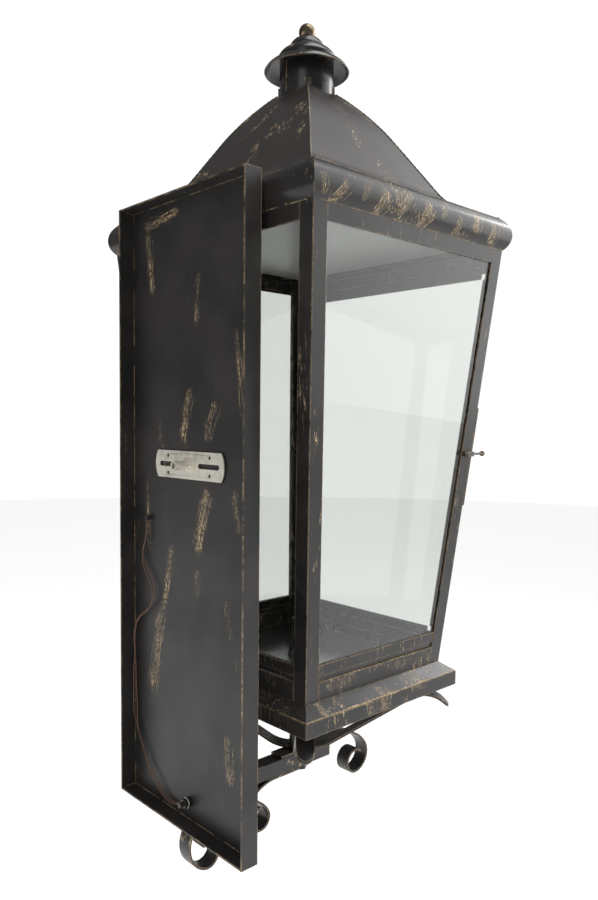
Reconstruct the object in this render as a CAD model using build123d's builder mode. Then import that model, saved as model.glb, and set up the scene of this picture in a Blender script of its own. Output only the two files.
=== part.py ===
"""Outdoor wall lantern: a tapered four-sided lantern on a scrolled bracket arm, hung from a folded wall box.

Units are millimetres. The origin is where the axis of the threaded nipple meets the wall; +X points to the
right of someone facing the wall, the lantern stands out along -Y, and +Z is up.
Heights below are measured from the lower edge of the wall box, and level() turns them into Z.
"""

import os
from math import cos, radians, sin

from build123d import *

os.makedirs("parts", exist_ok=True)

# ---------------------------------------------------------------- driving dimensions
# wall box, a tray folded from sheet and open towards the wall
box_width = 236.0
box_height = 700.0
box_depth = 21.0
sheet = 1.8
nipple_height = 404.5
back_face = box_depth - sheet  # depth of the face that the fittings stand on

# crossbar and its threaded nipple (M10)
nipple_radius = 5.0
shank_radius = 4.4  # from the nut inwards, where the nipple is turned down
nipple_bore = 3.5
nipple_reach = 3.0  # how far the nipple stands past the wall plane
bar_length = 130.0
bar_straight = 120.0
bar_width = 31.0
bar_thickness = 1.6
slot_centre = 37.5
slot_length = 38.0
slot_width = 5.4
tap_hole = 2.0
tap_x = 39.5
tap_z = 9.75
washer_thickness = 1.0

# bracket arm (square tube) and flat-bar ironwork
arm_size = 20.0
arm_wall = 1.5
arm_top = 35.5
arm_end = 235.0
plate_thickness = 3.0
strip = 3.0
strip_width = 20.0

# lantern body: every side leans outwards as it rises
body_depth = 190.8  # from the wall to the plan centre
taper_base = 156.8
base_half_x = 129.9
base_half_y = 115.0
lean_x = 0.0977
lean_y = 0.0867
wall = 2.0
post_width = 19.0
glass = 3.0

# levels of the body, from the bottom up
pan_bottom = 126.6
pan_top = 144.0
skirt_top = 155.0
plinth_top = 177.0
bead_bottom = 183.0
bead_top = 196.0
door_bottom = 178.5
door_top = 650.5
rail_bottom = 645.0
rail_top = 668.0
eave_top = 700.0

# roof, chimney and cap
roof_ratio = 0.886
pipe_radius = 33.0
pipe_wall = 2.0
pipe_top = 886.0
rod_radius = 3.0
ball_radius = 10.0
ball_level = 926.4


def level(height):
    """Z of a height above the lower edge of the wall box."""
    return height - nipple_height


def half_x(height):
    """Half width of the glazed body at a height."""
    return base_half_x + lean_x * (height - taper_base)


def half_y(height):
    """Half depth of the glazed body at a height."""
    return base_half_y + lean_y * (height - taper_base)


def save(piece, name):
    """Label a finished piece and write it as its own STEP file."""
    piece.label = name
    export_step(piece, f"parts/{name}.step")


centre = (0, -body_depth)
body_axis = Axis((0, -body_depth, 0), (0, 0, 1))
body_plane = Plane.XZ.offset(body_depth)
side_plane = Plane(origin=(0, -body_depth, 0), x_dir=(0, 1, 0), z_dir=(1, 0, 0))


# ---------------------------------------------------------------- wall box and what stands in it
stud_level = 22.0
stud_radius = 3.0
stud_tip = 5.0
hang_hole = 2.5

with BuildPart() as wall_box:
    with BuildSketch(Plane.XZ):
        with Locations((0, level(box_height / 2))):
            Rectangle(box_width, box_height)
    extrude(amount=box_depth)
    with BuildSketch(Plane.XZ):
        with Locations((0, level(box_height / 2))):
            Rectangle(box_width - 2 * sheet, box_height - 2 * sheet)
    extrude(amount=back_face, mode=Mode.SUBTRACT)
    with BuildSketch(Plane.XZ.offset(back_face)):
        Circle(shank_radius)
        with Locations((0, level(stud_level))):
            Circle(stud_radius)
    extrude(amount=sheet, mode=Mode.SUBTRACT)
    with BuildSketch(Plane.XY.offset(level(box_height - sheet))):
        with Locations((0, -box_depth / 2)):
            Circle(hang_hole)
    extrude(amount=sheet, mode=Mode.SUBTRACT)
save(wall_box.part, "wall_box")

bar_back = back_face - washer_thickness
bar_front = bar_back - bar_thickness
running_gap = 0.05

with BuildPart() as crossbar:
    with BuildSketch(Plane.XZ.offset(bar_front)):
        with BuildLine():
            end_top = Line((-bar_straight / 2, bar_width / 2), (bar_straight / 2, bar_width / 2))
            ThreePointArc(end_top @ 1, (bar_length / 2, 0), (bar_straight / 2, -bar_width / 2))
            Line((bar_straight / 2, -bar_width / 2), (-bar_straight / 2, -bar_width / 2))
            ThreePointArc((-bar_straight / 2, -bar_width / 2), (-bar_length / 2, 0), end_top @ 0)
        make_face()
        Circle(shank_radius + running_gap, mode=Mode.SUBTRACT)
        with Locations((-slot_centre, 0), (slot_centre, 0)):
            SlotOverall(slot_length, slot_width, mode=Mode.SUBTRACT)
        with GridLocations(2 * tap_x, 2 * tap_z, 2, 2):
            Circle(tap_hole, mode=Mode.SUBTRACT)
    extrude(amount=bar_thickness)
save(crossbar.part, "crossbar")

blind_nut_length = 12.0
blind_nut_radius = 8.0
nut_thickness = 4.0
nut_flats = 14.0
nut_start = bar_front - nut_thickness
nipple_depth = box_depth + 9.0

with BuildPart() as nipple:
    with BuildSketch(Plane.XZ.offset(-nipple_reach)):
        Circle(nipple_radius)
    extrude(amount=nipple_reach + nut_start)
    with BuildSketch(Plane.XZ.offset(nut_start)):
        Circle(shank_radius)
    extrude(amount=nipple_depth - nut_start)
    with BuildSketch(Plane.XZ.offset(-nipple_reach)):
        Circle(nipple_bore)
    extrude(amount=nipple_reach + nipple_depth, mode=Mode.SUBTRACT)
save(nipple.part, "nipple")

with BuildPart() as nipple_nut:
    with BuildSketch(Plane.XZ.offset(nut_start)):
        RegularPolygon(nut_flats / 2, 6, major_radius=False)
        Circle(shank_radius, mode=Mode.SUBTRACT)
    extrude(amount=nut_thickness)
save(nipple_nut.part, "nipple_nut")

with BuildPart() as nipple_washer:
    with BuildSketch(Plane.XZ.offset(bar_back)):
        Circle(nut_flats / 2 + 2)
        Circle(shank_radius, mode=Mode.SUBTRACT)
    extrude(amount=washer_thickness)
save(nipple_washer.part, "nipple_washer")

with BuildPart() as nipple_cap:
    with BuildSketch(Plane.XY):
        with BuildLine():
            seat = Line((0, -box_depth), (blind_nut_radius, -box_depth))
            skirt = Line(seat @ 1, (blind_nut_radius, -box_depth - blind_nut_length + blind_nut_radius))
            dome = RadiusArc(skirt @ 1, (0, -box_depth - blind_nut_length), blind_nut_radius)
            Line(dome @ 1, seat @ 0)
        make_face()
    revolve(axis=Axis.Y)
    with BuildSketch(Plane.XZ.offset(box_depth)):
        Circle(shank_radius)
    extrude(amount=nipple_depth - box_depth, mode=Mode.SUBTRACT)
save(nipple_cap.part, "nipple_cap")

# ---------------------------------------------------------------- earth stud, ring terminal, clip and leads
earth_nut = 4.0
ring_thickness = 1.0
ring_radius = 6.0
ring_depth = back_face - earth_nut - ring_thickness
barrel_radius = 2.2
barrel_start = 5.5
barrel_end = 12.0
barrel_slope = -24.0
lead_radius = 0.5
lead_split = 0.8  # each lead lies this far from the terminal's mid-plane
terminal_depth = ring_depth + ring_thickness / 2
terminal_plane = Plane(
    origin=(0, -terminal_depth, level(stud_level)),
    x_dir=(cos(radians(barrel_slope)), 0, sin(radians(barrel_slope))),
    z_dir=(0, -1, 0),
)

with BuildPart() as earth_stud:
    with BuildSketch(Plane.XZ.offset(stud_tip)):
        with Locations((0, level(stud_level))):
            Circle(stud_radius)
    extrude(amount=box_depth + plate_thickness - stud_tip)
save(earth_stud.part, "earth_stud")

with BuildPart() as earth_nuts:
    for face in (back_face - earth_nut, ring_depth - earth_nut):
        with BuildSketch(Plane.XZ.offset(face)):
            with Locations((0, level(stud_level))):
                RegularPolygon(5, 6, major_radius=False)
                Circle(stud_radius, mode=Mode.SUBTRACT)
        extrude(amount=earth_nut)
save(earth_nuts.part, "earth_nuts")

with BuildPart() as earth_ring:
    with BuildSketch(terminal_plane.offset(-ring_thickness / 2)):
        Circle(ring_radius)
        with Locations(((ring_radius + barrel_end) / 2 - 1, 0)):
            Rectangle(barrel_end - ring_radius, 2 * barrel_radius)
        Circle(stud_radius, mode=Mode.SUBTRACT)
    extrude(amount=ring_thickness)
    barrel_plane = Plane(
        origin=terminal_plane.from_local_coords((ring_radius + 1, 0, 0)),
        z_dir=terminal_plane.x_dir,
    )
    with BuildSketch(barrel_plane):
        Circle(barrel_radius)
    extrude(amount=barrel_end - ring_radius - 1)
save(earth_ring.part, "earth_ring")

clip_x = 81.0
clip_bottom = 336.0
clip_size = 5.0
clip_lip = 1.5  # how far the clip stands past the leads

with BuildPart() as lead_clip:
    with BuildSketch(Plane.XY.offset(level(clip_bottom))):
        with Locations((clip_x, -(back_face + ring_depth - clip_lip) / 2)):
            Rectangle(clip_size, back_face - ring_depth + clip_lip)
    extrude(amount=clip_size)
    fillet(lead_clip.edges().filter_by(Axis.Z).group_by(Axis.Y)[-1], 1.2)
save(lead_clip.part, "lead_clip")

# routes of the two leads, as (x, height) points seen from the wall side
barrel_mouth = (
    barrel_end * cos(radians(barrel_slope)),
    stud_level + barrel_end * sin(radians(barrel_slope)),
)
main_route = [
    (clip_x, clip_bottom), (clip_x, 318), (94, 300), (87, 283), (70, 267), (64.5, 248), (76, 231),
    (98, 220), (112, 203), (113.5, 181), (108, 158), (108.5, 132), (105, 106), (106.5, 81), (93, 60),
    (78, 38), (55, 21), (30, 9.5), barrel_mouth,
]
twin_route = [
    (clip_x, clip_bottom), (clip_x, 316), (90, 298), (89.5, 279), (74, 264), (66, 245), (79, 226),
    (101, 215), (109, 195), (107, 172), (111.5, 150), (111, 124), (112.5, 100), (102, 77), (86, 53),
    (72, 30), (47, 14), (28, 8.5), barrel_mouth,
]


def lead(route, depth):
    """A round lead that lies in one plane: straight runs joined by arcs as large as the runs allow."""
    corners = [Vector(x, -depth, level(height)) for x, height in route]
    radii = []
    for before, here, after in zip(corners, corners[1:], corners[2:]):
        arriving = here - before
        leaving = after - here
        half_turn = radians(arriving.get_angle(leaving)) / 2
        shorter = min(arriving.length, leaving.length)
        radii.append(0.45 * shorter * cos(half_turn) / sin(half_turn))
    with BuildPart() as cord:
        with BuildLine() as path:
            FilletPolyline(*corners, radius=radii)
        route_wire = path.wire()
        with BuildSketch(Plane(origin=route_wire @ 0, z_dir=route_wire % 0)):
            Circle(lead_radius)
        sweep(path=route_wire)
    return cord.part


save(lead(main_route, terminal_depth + lead_split), "earth_lead")
save(lead(twin_route, terminal_depth - lead_split), "earth_lead_twin")

# ---------------------------------------------------------------- bracket arm
root_half_width = 25.0
root_bottom = 6.0
root_top = 60.0
arm_start = box_depth + plate_thickness
cap_thickness = 1.5
stem_radius = 5.0
stem_bore = 3.5

with BuildPart() as arm_root_plate:
    with BuildSketch(Plane.XZ.offset(box_depth)):
        with Locations((0, level((root_bottom + root_top) / 2))):
            RectangleRounded(2 * root_half_width, root_top - root_bottom, 4)
        with Locations((0, level(stud_level))):
            Circle(stud_radius, mode=Mode.SUBTRACT)
    extrude(amount=plate_thickness)
save(arm_root_plate.part, "arm_root_plate")

arm_middle = arm_top - arm_size / 2
with BuildPart() as bracket_arm:
    with BuildSketch(Plane.XZ.offset(arm_start)):
        with Locations((0, level(arm_middle))):
            RectangleRounded(arm_size, arm_size, 1.5)
            Rectangle(arm_size - 2 * arm_wall, arm_size - 2 * arm_wall, mode=Mode.SUBTRACT)
    extrude(amount=arm_end - cap_thickness - arm_start)
    with BuildSketch(Plane.XY.offset(level(arm_top - arm_size))):
        with Locations(centre):
            Circle(stem_radius)
    extrude(amount=arm_size, mode=Mode.SUBTRACT)
save(bracket_arm.part, "bracket_arm")

with BuildPart() as arm_end_cap:
    with BuildSketch(Plane.XZ.offset(arm_end - cap_thickness)):
        with Locations((0, level(arm_middle))):
            RectangleRounded(arm_size, arm_size, 1.5)
    extrude(amount=cap_thickness)
save(arm_end_cap.part, "arm_end_cap")

# ---------------------------------------------------------------- scrolls, bent from flat bar in the plane x = 0
# The C-scroll hangs under the arm: two arcs run down from its crown to each curl.
crown = (-45.0, level(4.3 - strip / 2))
back_radius = 260.0
back_turn = 13.0
shoulder_radius = 42.0
shoulder_turn = 47.0

with BuildPart() as c_scroll:
    with BuildSketch(Plane.YZ):
        with BuildLine():
            wall_curl = JernArc(crown, (1, 0), 33.3 - strip / 2, -157.9)
            JernArc(wall_curl @ 1, wall_curl % 1, 16 - strip / 2, -232)
            back = JernArc(crown, (-1, 0), back_radius - strip / 2, back_turn)
            shoulder = JernArc(back @ 1, back % 1, shoulder_radius - strip / 2, shoulder_turn)
            JernArc(shoulder @ 1, shoulder % 1, 15.5 - strip / 2, 300)
        trace(line_width=strip)
    extrude(amount=strip_width / 2, both=True)
save(c_scroll.part, "c_scroll")

# The brace leaves the underside of the arm and bends down onto the back of the C-scroll.
with BuildPart() as brace_strip:
    with BuildSketch(Plane.YZ):
        with BuildLine():
            lying_level = level(arm_top - arm_size - strip / 2)
            flat = Line((-180, lying_level), (-140, lying_level))
            JernArc(flat @ 1, flat % 1, 52 + strip / 2, -55)
        trace(line_width=strip)
        with Locations((crown[0], crown[1] + strip / 2 - back_radius)):
            Circle(back_radius, mode=Mode.SUBTRACT)
        shoulder_centre = Vector(*crown) + Vector(0, strip / 2 - back_radius)
        shoulder_centre += Vector(-sin(radians(back_turn)), cos(radians(back_turn))) * (back_radius - shoulder_radius)
        with Locations(shoulder_centre):
            Circle(shoulder_radius, mode=Mode.SUBTRACT)
    extrude(amount=strip_width / 2, both=True)
save(brace_strip.part, "brace_strip")

# The front scroll lies on the arm under the cradle and rolls over past its end.
with BuildPart() as front_scroll:
    with BuildSketch(Plane.YZ):
        with BuildLine():
            lying = Line((-150, level(arm_top + strip / 2)), (-258.1, level(arm_top + strip / 2)))
            nose = JernArc(lying @ 1, lying % 1, 57.7 - strip / 2, 55)
            bowl = JernArc(nose @ 1, nose % 1, 24.2 - strip / 2, 125)
            JernArc(bowl @ 1, bowl % 1, 16.5 - strip / 2, 225)
        trace(line_width=strip)
    extrude(amount=strip_width / 2, both=True)
    with BuildSketch(Plane.XY.offset(level(arm_top))):
        with Locations(centre):
            Circle(stem_radius)
    extrude(amount=strip, mode=Mode.SUBTRACT)
save(front_scroll.part, "front_scroll")

# ---------------------------------------------------------------- cradle: a hub and four sprung legs
hub_bottom = arm_top + strip
hub_top = hub_bottom + strip
hub_reach = 16.0
leg_angle = 41.5
leg_rise = 32.0
leg_fall = 72.0
leg_tip = 187.0

with BuildPart() as cradle_hub:
    with BuildSketch(Plane.XY.offset(level(hub_bottom))):
        with Locations(centre):
            Rectangle(2 * hub_reach, strip_width, rotation=leg_angle)
            Rectangle(2 * hub_reach, strip_width, rotation=-leg_angle)
            Circle(stem_radius, mode=Mode.SUBTRACT)
    extrude(amount=strip)
save(cradle_hub.part, "cradle_hub")

leg_angles = {
    "back_right": leg_angle,
    "back_left": 180 - leg_angle,
    "front_left": 180 + leg_angle,
    "front_right": -leg_angle,
}
for corner, angle in leg_angles.items():
    outward = Vector(cos(radians(angle)), sin(radians(angle)), 0)
    with BuildPart() as cradle_leg:
        with BuildSketch(Plane(origin=(*centre, 0), x_dir=outward, z_dir=outward.cross(Vector(0, 0, 1)))):
            with BuildLine():
                spring = JernArc((hub_reach, level(hub_bottom + strip / 2)), (1, 0), 45 - strip / 2, leg_rise)
                climb = Line(spring @ 1, spring @ 1 + (spring % 1) * 117.9)
                crest = JernArc(climb @ 1, climb % 1, 33 + strip / 2, -leg_fall)
                Line(crest @ 1, crest @ 1 + (crest % 1) * 14)
            trace(line_width=strip)
        extrude(amount=strip_width / 2, both=True)
        with BuildSketch(Plane(origin=(*centre, level(hub_bottom - 1)), x_dir=outward, z_dir=(0, 0, 1))):
            with Locations(((hub_reach + leg_tip - strip_width / 2) / 2, 0)):
                Rectangle(leg_tip - strip_width / 2 - hub_reach, strip_width)
            with Locations((leg_tip - strip_width / 2, 0)):
                Circle(strip_width / 2)
        extrude(amount=100, mode=Mode.INTERSECT)
    save(cradle_leg.part, f"cradle_leg_{corner}")

# ---------------------------------------------------------------- stem and floor of the lantern
tube_radius = 14.0
floor_thickness = 1.5
floor_margin = 2 * wall + 0.5
floor_top = skirt_top + floor_thickness
cone_top = floor_top + 9.5
holder_radius = 11.0
holder_top = 205.0
lamp_radius = 6.8
lamp_depth = 28.0
stem_nut = 6.0

with BuildPart() as stem_tube:
    with BuildSketch(Plane.XY.offset(level(hub_top))):
        with Locations(centre):
            Circle(tube_radius)
            Circle(tube_radius - wall, mode=Mode.SUBTRACT)
    extrude(amount=pan_top - wall - hub_top)
save(stem_tube.part, "stem_tube")

with BuildPart() as stem_rod:
    with BuildSketch(Plane.XY.offset(level(arm_top - arm_size - stem_nut))):
        with Locations(centre):
            RegularPolygon(8, 6, major_radius=False)
    extrude(amount=stem_nut)
    with BuildSketch(Plane.XY.offset(level(arm_top - arm_size))):
        with Locations(centre):
            Circle(stem_radius)
    extrude(amount=cone_top - arm_top + arm_size)
    with BuildSketch(Plane.XY.offset(level(arm_top - arm_size - stem_nut))):
        with Locations(centre):
            Circle(stem_bore)
    extrude(amount=cone_top - arm_top + arm_size + stem_nut, mode=Mode.SUBTRACT)
save(stem_rod.part, "stem_rod")

pan_half_x = 146.2
pan_half_y = 129.5


def block(half_width, half_depth, bottom, top):
    """An upright block about the body's axis."""
    with BuildPart() as solid:
        with BuildSketch(Plane.XY.offset(level(bottom))):
            with Locations(centre):
                Rectangle(2 * half_width, 2 * half_depth)
        extrude(amount=top - bottom)
    return solid.part


def frustum(low, high, bottom, top):
    """A four-sided frustum about the body's axis; low and high are (half width, half depth)."""
    with BuildPart() as solid:
        for halves, height in ((low, bottom), (high, top)):
            with BuildSketch(Plane.XY.offset(level(height))):
                with Locations(centre):
                    Rectangle(2 * halves[0], 2 * halves[1])
        loft(ruled=True)
    return solid.part


def bore(radius, bottom, top):
    """A round bar on the body's axis, used to cut its holes."""
    with BuildPart() as solid:
        with BuildSketch(Plane.XY.offset(level(bottom))):
            with Locations(centre):
                Circle(radius)
        extrude(amount=top - bottom)
    return solid.part


with BuildPart() as base_pan:
    add(block(pan_half_x, pan_half_y, pan_bottom, pan_top))
    add(block(pan_half_x - wall, pan_half_y - wall, pan_bottom, pan_top - wall), mode=Mode.SUBTRACT)
    add(bore(stem_radius, pan_bottom, pan_top), mode=Mode.SUBTRACT)
save(base_pan.part, "base_pan")

shoulder_x = half_x(skirt_top)
shoulder_y = half_y(skirt_top)
with BuildPart() as base_skirt:
    add(frustum((pan_half_x, pan_half_y), (shoulder_x, shoulder_y), pan_top, skirt_top))
    add(
        frustum(
            (pan_half_x - 2 * wall, pan_half_y - 2 * wall),
            (shoulder_x - wall, shoulder_y - wall),
            pan_top,
            skirt_top - wall,
        ),
        mode=Mode.SUBTRACT,
    )
    add(bore(stem_radius, pan_top, skirt_top), mode=Mode.SUBTRACT)
save(base_skirt.part, "base_skirt")

with BuildPart() as floor_plate:
    add(block(shoulder_x - floor_margin, shoulder_y - floor_margin, skirt_top, floor_top))
    add(bore(stem_radius, skirt_top, floor_top), mode=Mode.SUBTRACT)
save(floor_plate.part, "floor_plate")

with BuildPart() as cone_nut:
    with BuildSketch(body_plane):
        Polygon(
            (stem_radius, level(floor_top)),
            (16, level(floor_top)),
            (holder_radius, level(cone_top)),
            (stem_radius, level(cone_top)),
            align=None,
        )
    revolve(axis=body_axis)
save(cone_nut.part, "cone_nut")

with BuildPart() as lampholder:
    add(bore(holder_radius, cone_top, holder_top))
    add(bore(lamp_radius, holder_top - lamp_depth, holder_top), mode=Mode.SUBTRACT)
    fillet(lampholder.edges().group_by(Axis.Z)[-1].sort_by(SortBy.RADIUS)[-1], 1)
save(lampholder.part, "lampholder")


# ---------------------------------------------------------------- corner posts and bars between them
def corner_outline(height, side_x, side_y, offsets):
    """Points of a post's section at a height; offsets are (inset in x, inset in y) from the corner."""
    return [
        (side_x * (half_x(height) - inset_x), -body_depth + side_y * (half_y(height) - inset_y))
        for inset_x, inset_y in offsets
    ]


def upright(side_x, side_y, bottom, top, offsets):
    """A bar that follows a corner of the tapering body."""
    with BuildPart() as solid:
        for height in (bottom, top):
            with BuildSketch(Plane.XY.offset(level(height))):
                Polygon(*corner_outline(height, side_x, side_y, offsets), align=None)
        loft(ruled=True)
    return solid.part


def side_bar(side, outline, margin):
    """A bar along one side; outline holds (inset, height) points and margin is the gap to each corner.

    side is "left", "right", "front" or "back".
    """
    sign = 1 if side in ("right", "back") else -1
    bottom = min(height for _, height in outline)
    top = max(height for _, height in outline)
    span = 200.0
    with BuildPart() as solid:
        if side in ("left", "right"):
            with BuildSketch(body_plane):
                Polygon(*[(sign * (half_x(h) - inset), level(h)) for inset, h in outline], align=None)
        else:
            with BuildSketch(Plane.YZ):
                Polygon(*[(-body_depth + sign * (half_y(h) - inset), level(h)) for inset, h in outline], align=None)
        extrude(amount=span, both=True)
        for height in (bottom, top):
            with BuildSketch(Plane.XY.offset(level(height))):
                with Locations(centre):
                    if side in ("left", "right"):
                        Rectangle(2 * span, 2 * (half_y(height) - margin))
                    else:
                        Rectangle(2 * (half_x(height) - margin), 2 * span)
        loft(ruled=True, mode=Mode.INTERSECT)
    return solid.part


def slab(inner, outer, bottom, top):
    """Outline of a plain flat bar for side_bar()."""
    return [(outer, bottom), (outer, top), (inner, top), (inner, bottom)]


back_offsets = [(0, 0), (post_width, 0), (post_width, wall), (wall, wall), (wall, post_width), (0, post_width)]
stop_width = 10.0
front_offsets = [
    (0, 0), (wall, 0), (wall, wall), (stop_width, wall), (stop_width, 2 * wall), (wall, 2 * wall),
    (wall, post_width), (0, post_width),
]
for name, side_x, side_y, offsets in (
    ("post_back_left", -1, 1, back_offsets),
    ("post_back_right", 1, 1, back_offsets),
    ("post_front_left", -1, -1, front_offsets),
    ("post_front_right", 1, -1, front_offsets),
):
    save(upright(side_x, side_y, skirt_top, rail_top, offsets), name)

with BuildPart() as plinth_band:
    for side in ("left", "right", "back"):
        add(side_bar(side, slab(wall, 0, skirt_top, plinth_top), post_width))
    add(side_bar("front", slab(wall, 0, skirt_top, plinth_top), wall))
save(plinth_band.part, "plinth_band")

with BuildPart() as top_rails:
    for side in ("left", "right", "back"):
        add(side_bar(side, slab(wall, 0, rail_bottom, rail_top), post_width))
    add(side_bar("front", slab(wall, 0, door_top + 1.5, rail_top), wall))
save(top_rails.part, "top_rails")

bead_inset = 0.7
pane_foot = bead_bottom + 1
bead_outline = [
    (bead_inset, bead_bottom), (bead_inset, bead_top), (wall, bead_top), (wall, pane_foot),
    (wall + glass, pane_foot), (wall + glass, plinth_top), (wall, plinth_top), (wall, bead_bottom),
]
with BuildPart() as glass_beads:
    for side in ("left", "right", "back"):
        add(side_bar(side, bead_outline, post_width))
save(glass_beads.part, "glass_beads")

pane_top = rail_top - 6
pane_margin = 6.0
for side in ("left", "right", "back"):
    save(side_bar(side, slab(wall + glass, wall, pane_foot, pane_top), pane_margin), f"glass_{side}")

# ---------------------------------------------------------------- door in the front
door_gap = 0.3
door_sheet = wall - door_gap
door_rail_top = 636.5
door_rail_bottom = 190.5
stile_offsets = [(wall + door_gap, 0), (post_width, 0), (post_width, door_sheet), (wall + door_gap, door_sheet)]

with BuildPart() as door_frame:
    add(upright(-1, -1, door_bottom, door_top, stile_offsets))
    add(upright(1, -1, door_bottom, door_top, stile_offsets))
    add(side_bar("front", slab(door_sheet, 0, door_bottom, door_rail_bottom), post_width))
    add(side_bar("front", slab(door_sheet, 0, door_rail_top, door_top), post_width))
save(door_frame.part, "door_frame")

door_pane = slab(door_sheet + glass, door_sheet, door_rail_bottom - 6, door_rail_top + 7)
save(side_bar("front", door_pane, stop_width + 2), "door_glass")

strike_bottom = 352.0
strike_top = 472.0
strike_thickness = 3.0
strike_edge = 0.3
strike_lap = wall + door_gap + 0.2
strike_offsets = [
    (strike_edge, -strike_thickness), (15, -strike_thickness), (15, 0), (strike_lap, 0),
    (strike_lap, -door_gap), (strike_edge, -door_gap),
]
save(upright(-1, -1, strike_bottom, strike_top, strike_offsets), "latch_strike")

# turn latch: a rod in a sleeve on the side of the front left post, with a tab in front of the strike
latch_level = 416.0
latch_offset = 2.7
latch_rod_radius = 1.5
latch_x = -half_x(latch_level) - latch_offset
door_face = body_depth + half_y(latch_level)
sleeve_start = door_face - 14
sleeve_end = door_face - 1
sleeve_half = 3.0
tab_gap = 1.5  # lets the tab turn up past the strike, which leans outwards
tab_start = door_face + strike_thickness + tab_gap
tab_thickness = 1.5
tab_reach = 10.0
knob_radius = 3.4
knob_depth = door_face + 20.3
collar_radius = 2.4
collar_thickness = 1.7
collar_start = sleeve_start - 2

with BuildPart() as latch_sleeve:
    with BuildSketch(Plane.XZ.offset(sleeve_start)):
        Polygon(
            (-half_x(latch_level - sleeve_half), level(latch_level - sleeve_half)),
            (-half_x(latch_level + sleeve_half), level(latch_level + sleeve_half)),
            (latch_x - sleeve_half, level(latch_level + sleeve_half)),
            (latch_x - sleeve_half, level(latch_level - sleeve_half)),
            align=None,
        )
        with Locations((latch_x, level(latch_level))):
            Circle(latch_rod_radius + running_gap, mode=Mode.SUBTRACT)
    extrude(amount=sleeve_end - sleeve_start)
save(latch_sleeve.part, "latch_sleeve")

with BuildPart() as latch_turn:
    with BuildSketch(Plane.XZ.offset(collar_start)):
        with Locations((latch_x, level(latch_level))):
            Circle(collar_radius)
    extrude(amount=collar_thickness)
    with BuildSketch(Plane.XZ.offset(collar_start)):
        with Locations((latch_x, level(latch_level))):
            Circle(latch_rod_radius)
    extrude(amount=knob_depth - collar_start)
    with BuildSketch(Plane.XZ.offset(tab_start)):
        with Locations((latch_x + tab_reach / 2, level(latch_level))):
            Rectangle(tab_reach, 2 * latch_rod_radius)
    extrude(amount=tab_thickness)
    with Locations((latch_x, -knob_depth, level(latch_level))):
        Sphere(knob_radius)
save(latch_turn.part, "latch_turn")

# hinges on the front right corner: their pins lean with it
corner_line = Vector(lean_x, -lean_y, 1).normalized()
front_normal = Vector(0, -1, -lean_y).normalized()
hinge_levels = (250.0, 590.0)
knuckle_radius = 2.6
knuckle_length = 12.0
pin_radius = 1.3
leaf = 1.2
knuckle_at = (leaf, -knuckle_radius - 0.1)


def hinge_plane(height, along=0.0):
    """Plane across the front right corner line, x' along the door and y' into the lantern."""
    corner = Vector(half_x(height), -body_depth - half_y(height), level(height))
    return Plane(origin=corner + corner_line * along, x_dir=corner_line.cross(front_normal), z_dir=corner_line)


with BuildPart() as hinge_pins:
    for height in hinge_levels:
        with BuildSketch(hinge_plane(height, -1.5 * knuckle_length - 1)):
            with Locations(knuckle_at):
                Circle(pin_radius)
        extrude(amount=3 * knuckle_length + 2)
save(hinge_pins.part, "hinge_pins")

with BuildPart() as frame_hinges:
    for height in hinge_levels:
        for start, length in ((-1.5, 1), (0.5, 1)):
            with BuildSketch(hinge_plane(height, start * knuckle_length)):
                with Locations(knuckle_at):
                    Circle(knuckle_radius)
                with Locations((leaf / 2, -1.2)):
                    Rectangle(leaf, 3)
                with Locations(knuckle_at):
                    Circle(pin_radius, mode=Mode.SUBTRACT)
            extrude(amount=length * knuckle_length)
        with BuildSketch(hinge_plane(height, -1.5 * knuckle_length)):
            with Locations((leaf / 2 - 0.3, 8.15)):
                Rectangle(leaf + 0.6, 15.7)
        extrude(amount=3 * knuckle_length)
    add(upright(1, -1, skirt_top, rail_top, [(0, 0), (wall, 0), (wall, post_width), (0, post_width)]), mode=Mode.SUBTRACT)
save(frame_hinges.part, "frame_hinges")

with BuildPart() as door_hinges:
    for height in hinge_levels:
        with BuildSketch(hinge_plane(height, -1.5 * knuckle_length)):
            with Locations((-9.5, -leaf / 2)):
                Rectangle(15, leaf)
        extrude(amount=3 * knuckle_length)
        with BuildSketch(hinge_plane(height, -0.5 * knuckle_length + 0.2)):
            with Locations(knuckle_at):
                Circle(knuckle_radius)
            with Locations((-1.4, -0.75)):
                Rectangle(5, 0.9)
            with Locations(knuckle_at):
                Circle(pin_radius + running_gap, mode=Mode.SUBTRACT)
        extrude(amount=knuckle_length - 0.4)
save(door_hinges.part, "door_hinges")


# ---------------------------------------------------------------- eave moulding, ceiling and roof
def vault(draw_front, draw_side):
    """Solid whose every level section is a rectangle: two outlines crossed at right angles.

    Each argument is a function that draws the right half of its outline, from the axis and back to it.
    """
    with BuildPart() as solid:
        with BuildSketch(body_plane):
            with BuildLine():
                draw_front()
                mirror(about=Plane.YZ)
            make_face()
        extrude(amount=220, both=True)
        with BuildSketch(side_plane):
            with BuildLine():
                draw_side()
                mirror(about=Plane.YZ)
            make_face()
        extrude(amount=220, both=True, mode=Mode.INTERSECT)
    return solid.part


eave_bottom = 661.5
roll_level = 680.0
roll_half_x = 188.0
roll_half_y = 166.5
roof_foot = 176.0
eave_inner_x = 165.0
eave_inner_y = 144.5


def eave_outline(low, bulge, high):
    """Half outline of the rolled eave moulding."""

    def draw():
        bottom = Line((0, level(eave_bottom)), (low, level(eave_bottom)))
        roll = ThreePointArc(bottom @ 1, (bulge, level(roll_level)), (high, level(eave_top)))
        Line(roll @ 1, (0, level(eave_top)))

    return draw


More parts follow.
